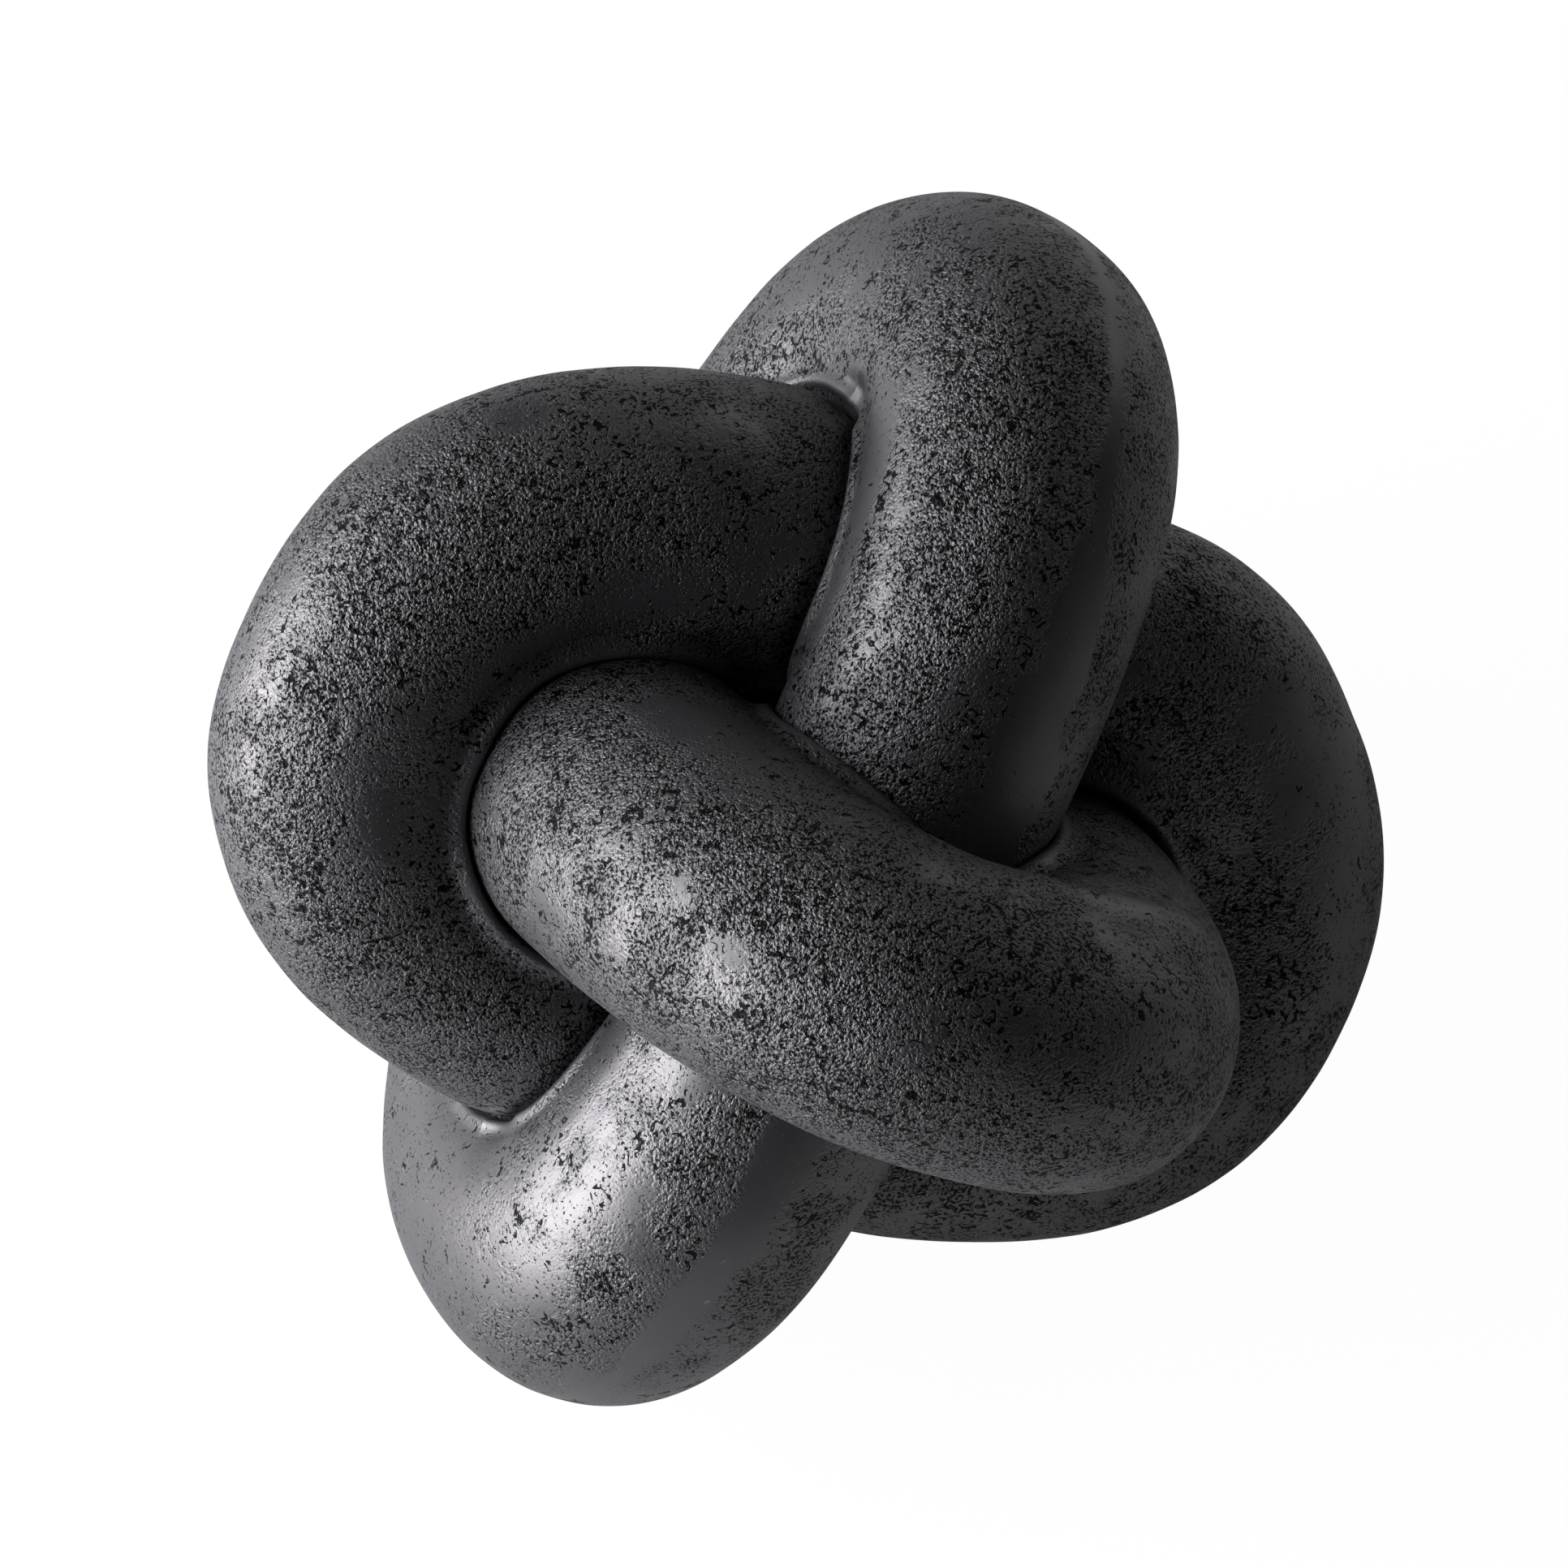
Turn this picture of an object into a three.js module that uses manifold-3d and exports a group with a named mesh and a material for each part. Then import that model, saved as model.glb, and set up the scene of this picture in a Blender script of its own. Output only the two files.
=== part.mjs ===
// A knot of three thick closed rings in black cast resin, made as six U-shaped lobes.
// Sizes are in millimetres and +Z is up. The knot stands on three lobes, with three more above them.
// Each ring lies in its own plane, square to the other two, and passes through the loop of the next ring.
// The tubes are wider than the loops, so each tube is pinched to a flat neck inside the next ring, where
// its two lobes meet on a steel dowel. A raised lip on the next ring borders each place where a tube goes in.
import * as THREE from "three";
import { mergeVertices } from "three/addons/utils/BufferGeometryUtils.js";
import Module from "manifold-3d";

const wasm = await Module();
wasm.setup();

// The three rings, shaped by hand and so not quite alike. A lobe reaches from the middle of the knot to the
// centreline at its tip. A leg's offset is from the ring's long axis to the leg's centreline. The upper leg
// runs inside the next ring's upper lobe, and the lower leg inside its lower lobe. Each ring leans a few
// degrees about its long axis, its cross axis and its normal, and stands off the middle by its shift.
const leftRing = {
  upper: { name: "upper_left_lobe", reach: 73, tipRadius: 22.5 },
  lower: { name: "lower_right_lobe", reach: 76.5, tipRadius: 22 },
  upperLeg: { offset: 43, radius: 23.5 },
  lowerLeg: { offset: 38, radius: 22.5 },
  lean: { long: 2.5, cross: -2, normal: -1 },
  shift: 0,
};
const rightRing = {
  upper: { name: "upper_right_lobe", reach: 78.5, tipRadius: 24.5 },
  lower: { name: "lower_left_lobe", reach: 72, tipRadius: 26 },
  upperLeg: { offset: 35, radius: 23.5 },
  lowerLeg: { offset: 41, radius: 25 },
  lean: { long: 3, cross: -1.5, normal: -3.5 },
  shift: -3,
};
const frontRing = {
  upper: { name: "upper_front_lobe", reach: 80, tipRadius: 24 },
  lower: { name: "lower_back_lobe", reach: 71.5, tipRadius: 24 },
  upperLeg: { offset: 36.5, radius: 25 },
  lowerLeg: { offset: 34, radius: 23.5 },
  lean: { long: 3, cross: 3, normal: -5.5 },
  shift: 1,
};
const rings = [leftRing, rightRing, frontRing];

// The centreline of a ring is a superellipse: a higher power makes its end blunter or its leg straighter.
const tipPower = 2.83;
const legPower = 2.37;

// On the inside of a tight bend a tube is drawn in to this share of the bend's own radius.
const bendFill = 0.86;

// Glue lines and fits.
const buttGap = 0.3;
const socketGap = 0.3;
const dowelClearance = 0.3;
const padFilm = 0.3;

const lipRadius = 1.2;
const grooveWidth = 0.5;
const lipTaper = 8;
const lipStart = 6;
const leastLipPoints = 4;

const dowelRadius = 4;
const dowelLength = 40;
const dowelChamfer = 0.8;

const padRadius = 7;
const padThickness = 2;
const seatRim = 1;

// Facets.
const tubeSides = 22;
const lobeSteps = 18;
const lipSides = 6;
const lipSteps = 24;
const roundSides = 16;
const spineSteps = 120;

const resinBlack = new THREE.MeshStandardMaterial({ color: 0x2b2b2d, roughness: 0.55, metalness: 0 });
const dowelSteel = new THREE.MeshStandardMaterial({ color: 0x9a9c9e, roughness: 0.35, metalness: 1 });
const padFelt = new THREE.MeshStandardMaterial({ color: 0x1c1c1d, roughness: 1, metalness: 0 });

// Half of a ring's centreline, in the ring's own frame: X along the lobe, Y across to the upper leg.
// The upper half runs from the upper leg over the lobe's tip to the lower leg, and the lower half goes on
// from there, so the two together run once round the ring.
class HalfRing extends THREE.Curve {
  constructor(ring, lobe) {
    super();
    this.ring = ring;
    this.lobe = lobe;
    this.start = lobe === ring.upper ? Math.PI / 2 : -Math.PI / 2;
  }

  getPoint(t, target = new THREE.Vector3()) {
    const angle = this.start - Math.PI * t;
    const along = Math.cos(angle);
    const across = Math.sin(angle);
    const leg = across > 0 ? this.ring.upperLeg : this.ring.lowerLeg;
    return target.set(
      Math.sign(along) * this.lobe.reach * Math.abs(along) ** (2 / tipPower),
      Math.sign(across) * leg.offset * Math.abs(across) ** (2 / legPower),
      0,
    );
  }
}

// The radius of a centreline's bend, from the turn of its direction over a short run.
function bendRadius(curve, place) {
  const before = Math.max(place - 0.01, 0);
  const after = Math.min(place + 0.01, 1);
  const turn = curve.getTangentAt(before).angleTo(curve.getTangentAt(after));
  return (curve.getLength() * (after - before)) / Math.max(turn, 1e-6);
}

// One section of a half ring, round but for the inside of a tight bend. The inward direction points to the
// inside of the loop, and the radius changes evenly from the legs' to the tip's.
function section(curve, place, swell) {
  const { ring, lobe } = curve;
  const centre = curve.getPointAt(place);
  const tangent = curve.getTangentAt(place);
  const normal = new THREE.Vector3(0, 0, 1);
  const inward = tangent.clone().cross(normal).normalize();
  const legOffset = centre.y > 0 ? ring.upperLeg.offset : ring.lowerLeg.offset;
  const upperShare = 0.5 + (0.5 * centre.y) / legOffset;
  const legRadius = THREE.MathUtils.lerp(ring.lowerLeg.radius, ring.upperLeg.radius, upperShare);
  const tipShare = (centre.x / lobe.reach) ** 2;
  const radius = THREE.MathUtils.lerp(legRadius, lobe.tipRadius, tipShare);
  const inwardRadius = Math.min(radius, bendFill * bendRadius(curve, place));
  return { centre, inward, normal, tangent, radius: radius + swell, inwardRadius: inwardRadius + swell };
}

// The point on a section's rim at an angle from its inward direction.
function onRim({ centre, inward, normal, radius, inwardRadius = radius }, angle) {
  const inwardReach = Math.cos(angle) > 0 ? inwardRadius : radius;
  return centre
    .clone()
    .addScaledVector(inward, inwardReach * Math.cos(angle))
    .addScaledVector(normal, radius * Math.sin(angle));
}

function halfSections(ring, lobe, swell) {
  const curve = new HalfRing(ring, lobe);
  return Array.from({ length: lobeSteps + 1 }, (_, i) => section(curve, i / lobeSteps, swell));
}

// A closed skin through round sections: open-ended runs get flat ends, and a loop joins last to first.
function skin(sections, sides, loop) {
  const points = [];
  const faces = [];
  const at = (i, j) => (i % sections.length) * sides + (j % sides);
  for (const one of sections) {
    for (let j = 0; j < sides; j += 1) {
      points.push(...onRim(one, (2 * Math.PI * j) / sides));
    }
  }
  const bands = loop ? sections.length : sections.length - 1;
  for (let i = 0; i < bands; i += 1) {
    for (let j = 0; j < sides; j += 1) {
      faces.push(at(i, j), at(i + 1, j), at(i + 1, j + 1));
      faces.push(at(i, j), at(i + 1, j + 1), at(i, j + 1));
    }
  }
  if (!loop) {
    const last = sections.length - 1;
    const firstMiddle = points.length / 3;
    points.push(...sections[0].centre, ...sections[last].centre);
    for (let j = 0; j < sides; j += 1) {
      faces.push(firstMiddle, at(0, j), at(0, j + 1));
      faces.push(firstMiddle + 1, at(last, j + 1), at(last, j));
    }
  }
  const geometry = new THREE.BufferGeometry();
  geometry.setAttribute("position", new THREE.Float32BufferAttribute(points, 3));
  geometry.setIndex(faces);
  return geometry;
}

// A round bar along a line, with chamfered ends when a chamfer is given.
function bar(from, direction, length, radius, chamfer = 0) {
  const side = new THREE.Vector3(0, 0, 1).cross(direction);
  const inward = (side.length() > 0.1 ? side : new THREE.Vector3(1, 0, 0)).normalize();
  const normal = direction.clone().cross(inward);
  const profile = [
    [0, radius - chamfer],
    [chamfer, radius],
    [length - chamfer, radius],
    [length, radius - chamfer],
  ];
  const sections = profile.map(([place, size]) => ({
    centre: from.clone().addScaledVector(direction, place),
    inward: inward.clone().negate(),
    normal,
    radius: size,
  }));
  return skin(chamfer > 0 ? sections : [sections[0], sections[3]], roundSides, false);
}

function solidOf(geometry) {
  const bare = geometry.clone();
  bare.deleteAttribute("normal");
  bare.deleteAttribute("uv");
  const merged = mergeVertices(bare, 1e-4);
  const vertProperties = new Float32Array(merged.attributes.position.array);
  const triVerts = new Uint32Array(merged.index.array);
  return new wasm.Manifold(new wasm.Mesh({ numProp: 3, vertProperties, triVerts }));
}

function geometryOf(solid) {
  const { vertProperties, triVerts } = solid.getMesh();
  const geometry = new THREE.BufferGeometry();
  geometry.setAttribute("position", new THREE.BufferAttribute(vertProperties, 3));
  geometry.setIndex(new THREE.BufferAttribute(triVerts, 1));
  geometry.computeVertexNormals();
  return geometry;
}

// Where each ring stands in the knot. The long axes of the three rings are square to one another and lean
// out alike, a third of a turn apart, so each upper lobe rises at the angle between a cube's edge and the
// plane across its long diagonal. A ring lies in the plane of its own long axis and the next ring's.
const lobeRise = Math.atan(Math.SQRT1_2);
const lobeHeadings = [150, 30, -90].map(THREE.MathUtils.degToRad);
const longAxes = lobeHeadings.map(
  (heading) =>
    new THREE.Vector3(
      Math.cos(lobeRise) * Math.cos(heading),
      Math.cos(lobeRise) * Math.sin(heading),
      Math.sin(lobeRise),
    ),
);

function placeOf(index) {
  const { lean, shift } = rings[index];
  const long = longAxes[index];
  const cross = longAxes[(index + 1) % 3];
  const place = new THREE.Matrix4().makeBasis(long, cross, long.clone().cross(cross));
  const turn = new THREE.Euler(
    THREE.MathUtils.degToRad(lean.long),
    THREE.MathUtils.degToRad(lean.cross),
    THREE.MathUtils.degToRad(lean.normal),
  );
  place.multiply(new THREE.Matrix4().makeTranslation(0, 0, shift));
  return place.multiply(new THREE.Matrix4().makeRotationFromEuler(turn));
}

const places = rings.map((_, index) => placeOf(index));

// A ring's sections in the knot's frame, and the height of a point above the ring's surface, measured
// from them. On the inside of a bend the height is stretched as the section is drawn in.
function spineOf(index) {
  const ring = rings[index];
  return [ring.upper, ring.lower].flatMap((lobe) => {
    const curve = new HalfRing(ring, lobe);
    return Array.from({ length: spineSteps }, (_, i) => {
      const one = section(curve, i / spineSteps, 0);
      one.centre.applyMatrix4(places[index]);
      one.inward.transformDirection(places[index]);
      one.tangent.transformDirection(places[index]);
      return { ...one, lobe };
    });
  });
}

const spines = rings.map((_, index) => spineOf(index));

function heightAbove(spine, point) {
  const heights = spine.map(({ centre, inward, radius, inwardRadius }) => {
    const offset = point.clone().sub(centre);
    const inwardPart = Math.max(offset.dot(inward), 0);
    offset.addScaledVector(inward, inwardPart * (radius / inwardRadius - 1));
    return offset.length() - radius;
  });
  return Math.min(...heights);
}

// The whole of the next ring, seen from this ring's frame and swollen by the glue gap: what it cuts away
// is the socket that pinches this ring's tubes to necks.
function nextRingCutter(index) {
  const next = (index + 1) % 3;
  const ring = rings[next];
  const upper = halfSections(ring, ring.upper, socketGap).slice(0, -1);
  const lower = halfSections(ring, ring.lower, socketGap).slice(0, -1);
  const seenFromHere = places[index].clone().invert().multiply(places[next]);
  return solidOf(skin([...upper, ...lower], tubeSides, true).applyMatrix4(seenFromHere));
}

// The paths of the lips round one entering tube: the line where that tube, swollen by the groove and the
// lip, comes out of the receiving ring. Each point is found along one straight run of the tube's skin,
// outwards from the neck. A path stops short of the third ring, which covers the open end of the U, and of
// the neck's middle, where the lip round the opposite half of the entering ring starts.
function lipPaths(receiving, entering, lobe, leg) {
  const third = 3 - receiving - entering;
  const ring = rings[entering];
  const curve = new HalfRing(ring, lobe);
  const startsHere = (lobe === ring.upper) === (leg === ring.upperLeg);
  const placeAt = (share) => (startsHere ? share : 1 - share);
  const paths = [[]];
  const pointAt = (share, angle) =>
    onRim(section(curve, placeAt(share), grooveWidth + lipRadius), angle).applyMatrix4(places[entering]);
  for (let i = 0; i <= lipSteps; i += 1) {
    const angle = (2 * Math.PI * i) / lipSteps;
    let inside = 0;
    let outside = 0;
    while (outside < 0.5 && heightAbove(spines[receiving], pointAt(outside, angle)) < 0) {
      inside = outside;
      outside += 0.02;
    }
    for (let halving = 0; halving < 12; halving += 1) {
      const middle = (inside + outside) / 2;
      const isInside = heightAbove(spines[receiving], pointAt(middle, angle)) < 0;
      inside = isInside ? middle : inside;
      outside = isInside ? outside : middle;
    }
    const point = pointAt(outside, angle);
    const axis = curve.getPointAt(placeAt(outside));
    const clearOfNeck = Math.abs(axis.x) > lipStart;
    const clearOfThird = heightAbove(spines[third], point) > 3 * lipRadius + 2 * grooveWidth;
    const away = point.clone().sub(axis.applyMatrix4(places[entering])).normalize();
    if (clearOfNeck && clearOfThird) {
      paths[paths.length - 1].push({ point, away });
    } else {
      paths.push([]);
    }
  }
  return paths.filter((path) => path.length >= leastLipPoints);
}

// A round bead along a lip's path, thinning towards both ends.
function lip(path) {
  const run = [0];
  for (let i = 1; i < path.length; i += 1) {
    run.push(run[i - 1] + path[i].point.distanceTo(path[i - 1].point));
  }
  const whole = run[run.length - 1];
  const sections = path.map(({ point, away }, i) => {
    const before = path[Math.max(i - 1, 0)].point;
    const after = path[Math.min(i + 1, path.length - 1)].point;
    const tangent = after.clone().sub(before).normalize();
    const normal = away.clone().cross(tangent).negate().normalize();
    const inward = tangent.clone().cross(normal).normalize();
    const fromEnd = Math.min(run[i], whole - run[i]) / lipTaper;
    return { centre: point, inward, normal, radius: lipRadius * Math.min(1, 0.3 + 0.7 * fromEnd) };
  });
  return skin(sections, lipSides, false);
}

// The middle of a neck, in its ring's frame: across, half way from the inside of its own leg to the inside
// of the next ring's tip, and along the normal, half way between the next ring's legs.
function neckMiddle(index, leg) {
  const ring = rings[index];
  const next = rings[(index + 1) % 3];
  const isUpper = leg === ring.upperLeg;
  const around = isUpper ? next.upper : next.lower;
  const across = (leg.offset - leg.radius + around.reach - around.tipRadius) / 2;
  const upperSide = next.upperLeg.offset - next.upperLeg.radius;
  const lowerSide = next.lowerLeg.offset - next.lowerLeg.radius;
  return new THREE.Vector3(0, isUpper ? across : -across, (lowerSide - upperSide) / 2);
}

const alongRing = new THREE.Vector3(1, 0, 0);

// A lobe: half of the ring's tube, with the lips that it carries, the sockets that the next ring presses
// into it and a blind hole for the dowel in each neck.
function lobeSolid(index, lobe) {
  const ring = rings[index];
  const sections = halfSections(ring, lobe, 0);
  const direction = lobe === ring.upper ? 1 : -1;
  for (const end of [sections[0], sections[lobeSteps]]) {
    end.centre.x = (direction * buttGap) / 2;
  }
  let solid = solidOf(skin(sections, tubeSides, false));
  const entering = (index + 2) % 3;
  const leg = lobe === ring.upper ? rings[entering].upperLeg : rings[entering].lowerLeg;
  const fromKnot = places[index].clone().invert();
  for (const half of [rings[entering].upper, rings[entering].lower]) {
    for (const path of lipPaths(index, entering, half, leg)) {
      solid = solid.add(solidOf(lip(path).applyMatrix4(fromKnot)));
    }
  }
  solid = solid.subtract(nextRingCutter(index));
  for (const neck of [ring.upperLeg, ring.lowerLeg]) {
    const middle = neckMiddle(index, neck);
    const reach = dowelLength / 2 + dowelClearance;
    const start = middle.clone().addScaledVector(alongRing, -reach);
    solid = solid.subtract(solidOf(bar(start, alongRing, 2 * reach, dowelRadius + dowelClearance)));
  }
  return solid;
}

// The lowest point of a lower lobe before its seat is cut.
function lowestPoint(index) {
  const ring = rings[index];
  const down = new THREE.Vector3(0, 0, -1);
  const points = spines[index]
    .filter(({ lobe }) => lobe === ring.lower)
    .map(({ centre, tangent, radius }) => {
      const outward = down.clone().addScaledVector(tangent, -down.dot(tangent)).normalize();
      return centre.clone().addScaledVector(outward, radius);
    });
  return points.reduce((lowest, point) => (point.z < lowest.z ? point : lowest));
}

// The seats are sanded flat in one plane, just deep enough for a pad under the lobe that reaches least far
// down, so the flat there is as wide as the pad and its rim.
const lowPoints = rings.map((_, index) => lowestPoint(index));
const seatDepths = rings.map(({ lower }, index) => {
  const flatRadius = padRadius + seatRim;
  return lowPoints[index].z + lower.tipRadius - Math.sqrt(lower.tipRadius ** 2 - flatRadius ** 2);
});
const seatHeight = Math.max(...seatDepths);
const padBottom = seatHeight - padFilm - padThickness;

// Everything below the seats, as a block in a ring's frame.
function belowSeats(index) {
  const size = 4 * Math.max(...rings.map(({ lower }) => lower.reach));
  const block = new THREE.BoxGeometry(size, size, size).translate(0, 0, seatHeight - size / 2);
  return solidOf(block.applyMatrix4(places[index].clone().invert()));
}

const knot = new THREE.Group();

rings.forEach((ring, index) => {
  const frame = new THREE.Group();
  places[index].decompose(frame.position, frame.quaternion, frame.scale);
  const upper = new THREE.Mesh(geometryOf(lobeSolid(index, ring.upper)), resinBlack);
  upper.name = ring.upper.name;
  const lowerSolid = lobeSolid(index, ring.lower).subtract(belowSeats(index));
  const lower = new THREE.Mesh(geometryOf(lowerSolid), resinBlack);
  lower.name = ring.lower.name;
  frame.add(upper, lower);
  for (const neck of [ring.upperLeg, ring.lowerLeg]) {
    const start = new THREE.Vector3(-dowelLength / 2, 0, 0);
    const dowel = new THREE.Mesh(bar(start, alongRing, dowelLength, dowelRadius, dowelChamfer), dowelSteel);
    const pair = ring.upper.name.replace("upper_", "").replace("_lobe", "");
    dowel.name = `${pair}_ring_${neck === ring.upperLeg ? "upper" : "lower"}_dowel`;
    dowel.position.copy(neckMiddle(index, neck));
    frame.add(dowel);
  }
  knot.add(frame);
});

lowPoints.forEach((point, index) => {
  const upwards = new THREE.Vector3(0, 0, 1);
  const pad = new THREE.Mesh(bar(new THREE.Vector3(), upwards, padThickness, padRadius), padFelt);
  pad.name = rings[index].lower.name.replace("lower_", "").replace("_lobe", "_pad");
  pad.position.set(point.x, point.y, padBottom);
  knot.add(pad);
});

// The origin is under the middle of the whole, on the surface that the pads rest on.
const box = new THREE.Box3().setFromObject(knot, true);
knot.position.set(-(box.min.x + box.max.x) / 2, -(box.min.y + box.max.y) / 2, -box.min.z);

export default knot;
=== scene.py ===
import bpy
import numpy as np
from mathutils import Matrix, Vector


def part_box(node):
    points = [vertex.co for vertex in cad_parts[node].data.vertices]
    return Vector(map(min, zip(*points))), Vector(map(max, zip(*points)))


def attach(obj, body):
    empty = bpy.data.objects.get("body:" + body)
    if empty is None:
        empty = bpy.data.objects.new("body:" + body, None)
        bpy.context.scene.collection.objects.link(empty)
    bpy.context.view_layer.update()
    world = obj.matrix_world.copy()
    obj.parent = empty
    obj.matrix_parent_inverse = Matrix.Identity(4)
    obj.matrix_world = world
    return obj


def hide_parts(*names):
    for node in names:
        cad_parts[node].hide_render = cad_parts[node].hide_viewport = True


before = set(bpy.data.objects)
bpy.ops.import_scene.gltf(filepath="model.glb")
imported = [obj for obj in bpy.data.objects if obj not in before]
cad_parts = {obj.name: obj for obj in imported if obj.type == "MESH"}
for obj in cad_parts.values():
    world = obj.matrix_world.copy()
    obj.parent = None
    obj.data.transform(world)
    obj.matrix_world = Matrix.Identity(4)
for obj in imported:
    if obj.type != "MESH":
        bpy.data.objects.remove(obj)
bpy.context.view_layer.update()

# The six lobes, two for each of the knot's three rings. Each is a U-shaped solid casting of black resin,
# about 50 mm thick, that rises from two flattened necks. There it was pressed round the next ring's tube, and
# it is glued to its twin over steel dowels.

# The rings' sizes. Each ring lies in its own plane, square to the other two, and passes through the loop of
# the next one. They were shaped by hand, so no two lobes or legs are quite alike.
MM = 0.001
knot_middle = np.array([-2.098, 3.741, 72.612]) * MM
left_ring = {
    "upper": {"node": "upper_left_lobe", "reach": 73 * MM, "tip": 22.5 * MM},
    "lower": {"node": "lower_right_lobe", "reach": 76.5 * MM, "tip": 22 * MM},
    "upper_leg": {"offset": 43 * MM, "radius": 23.5 * MM},
    "lower_leg": {"offset": 38 * MM, "radius": 22.5 * MM},
    "lean": (2.5, -2, -1),
    "shift": 0,
}
right_ring = {
    "upper": {"node": "upper_right_lobe", "reach": 78.5 * MM, "tip": 24.5 * MM},
    "lower": {"node": "lower_left_lobe", "reach": 72 * MM, "tip": 26 * MM},
    "upper_leg": {"offset": 35 * MM, "radius": 23.5 * MM},
    "lower_leg": {"offset": 41 * MM, "radius": 25 * MM},
    "lean": (3, -1.5, -3.5),
    "shift": -3 * MM,
}
front_ring = {
    "upper": {"node": "upper_front_lobe", "reach": 80 * MM, "tip": 24 * MM},
    "lower": {"node": "lower_back_lobe", "reach": 71.5 * MM, "tip": 24 * MM},
    "upper_leg": {"offset": 36.5 * MM, "radius": 25 * MM},
    "lower_leg": {"offset": 34 * MM, "radius": 23.5 * MM},
    "lean": (3, 3, -5.5),
    "shift": 1 * MM,
}
rings = [left_ring, right_ring, front_ring]
path_points = 6001
tip_power = 2.83
leg_power = 2.37
bend_fill = 0.86
butt_gap = 0.3 * MM

lobe_rise = np.arctan(np.sqrt(0.5))
lobe_headings = np.radians([150, 30, -90])
long_axes = np.stack(
    [
        np.cos(lobe_rise) * np.cos(lobe_headings),
        np.cos(lobe_rise) * np.sin(lobe_headings),
        np.full(3, np.sin(lobe_rise)),
    ],
    axis=1,
)


def unit(vectors):
    """Each vector divided by its own length."""
    return vectors / np.linalg.norm(vectors, axis=-1, keepdims=True)


def place_ring(index):
    """A ring's axes as columns and its middle: its long axis, the next ring's long axis and the normal to
    both, leant in turn about the long axis, the cross axis and the normal, then shifted along the normal."""
    along = long_axes[index]
    across = long_axes[(index + 1) % 3]
    axes = np.stack([along, across, np.cross(along, across)], axis=1)
    middle = knot_middle + rings[index]["shift"] * axes[:, 2]
    for axis, lean in enumerate(np.radians(rings[index]["lean"])):
        axes = axes @ np.array(Matrix.Rotation(lean, 3, "XYZ"[axis]))
    return axes, middle


def half_ring(index, half, steps, crowding=0.0):
    """Sections of one lobe, from the butt joint in its upper leg, over its tip, to the one in its lower leg,
    for the upper lobe, and back again for the lower one. The centreline is a superellipse, walked at even
    arc lengths, or with the steps drawn away from both ends by the crowding. A section's radius runs evenly
    from leg to leg by its place across, and to the tip's radius by the square of its place along. On the
    inside of a bend the tube is drawn in to a share of the bend's own radius."""
    ring = rings[index]
    lobe = ring[half]
    start = np.pi / 2 if half == "upper" else -np.pi / 2
    angle = start - np.pi * np.linspace(0, 1, path_points)
    leg = np.where(np.sin(angle) > 0, ring["upper_leg"]["offset"], ring["lower_leg"]["offset"])
    x = np.sign(np.cos(angle)) * lobe["reach"] * np.abs(np.cos(angle)) ** (2 / tip_power)
    y = np.sign(np.sin(angle)) * leg * np.abs(np.sin(angle)) ** (2 / leg_power)
    run = np.concatenate([[0], np.cumsum(np.hypot(np.diff(x), np.diff(y)))])
    share = np.linspace(0, 1, steps + 1)
    share = share + crowding * np.sin(2 * np.pi * share) / (2 * np.pi)
    along = share * run[-1]
    reach = 0.01 * run[-1]
    before = np.stack([np.interp(along - reach, run, v) for v in (x, y)], axis=1)
    after = np.stack([np.interp(along + reach, run, v) for v in (x, y)], axis=1)
    centre = np.stack([np.interp(along, run, v) for v in (x, y)], axis=1)
    into, out = unit(centre - before + 1e-12), unit(after - centre + 1e-12)
    into[0], out[-1] = out[0], into[-1]
    tangent = unit(after - before)
    turn = np.arccos(np.clip((into * out).sum(1), -1, 1))
    bend = reach / np.maximum(turn, 1e-4)
    leg_here = np.interp(along, run, leg)
    upper_share = 0.5 + 0.5 * centre[:, 1] / leg_here
    leg_radius = ring["lower_leg"]["radius"] * (1 - upper_share) + ring["upper_leg"]["radius"] * upper_share
    tip_share = (centre[:, 0] / lobe["reach"]) ** 2
    radius = leg_radius * (1 - tip_share) + lobe["tip"] * tip_share
    inner = np.minimum(radius, bend_fill * bend)
    axes, middle = place_ring(index)
    flat = np.zeros(len(along))
    inward = np.stack([tangent[:, 1], -tangent[:, 0], flat], axis=1)
    return {
        "centre": np.column_stack([centre, flat]) @ axes.T + middle,
        "tangent": np.column_stack([tangent, flat]) @ axes.T,
        "inward": inward @ axes.T,
        "normal": np.broadcast_to(axes[:, 2], (len(along), 3)),
        "radius": radius,
        "inner": inner,
        "along": along,
    }


# The skin of a tube, and how far any point stands off it. A cast lobe follows its ring's own skin except
# where the next ring was pressed into it.
spine_steps = 300


def tube_skin(sections, around):
    """The grid of points on a tube, one row for each section and one column for each angle from its inward
    direction, with the radius across the plane of the ring and the drawn-in radius on its inside."""
    reach = np.where(np.cos(around) > 0, sections["inner"][:, None], sections["radius"][:, None])
    inward = (reach * np.cos(around))[..., None] * sections["inward"][:, None]
    normal = (sections["radius"][:, None] * np.sin(around))[..., None] * sections["normal"][:, None]
    return sections["centre"][:, None] + inward + normal


def ring_spine(index):
    """Close sections once round a whole ring."""
    halves = [half_ring(index, half, spine_steps) for half in ("upper", "lower")]
    return {key: np.concatenate([half[key][:-1] for half in halves]) for key in halves[0]}


spines = [ring_spine(index) for index in range(3)]


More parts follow.
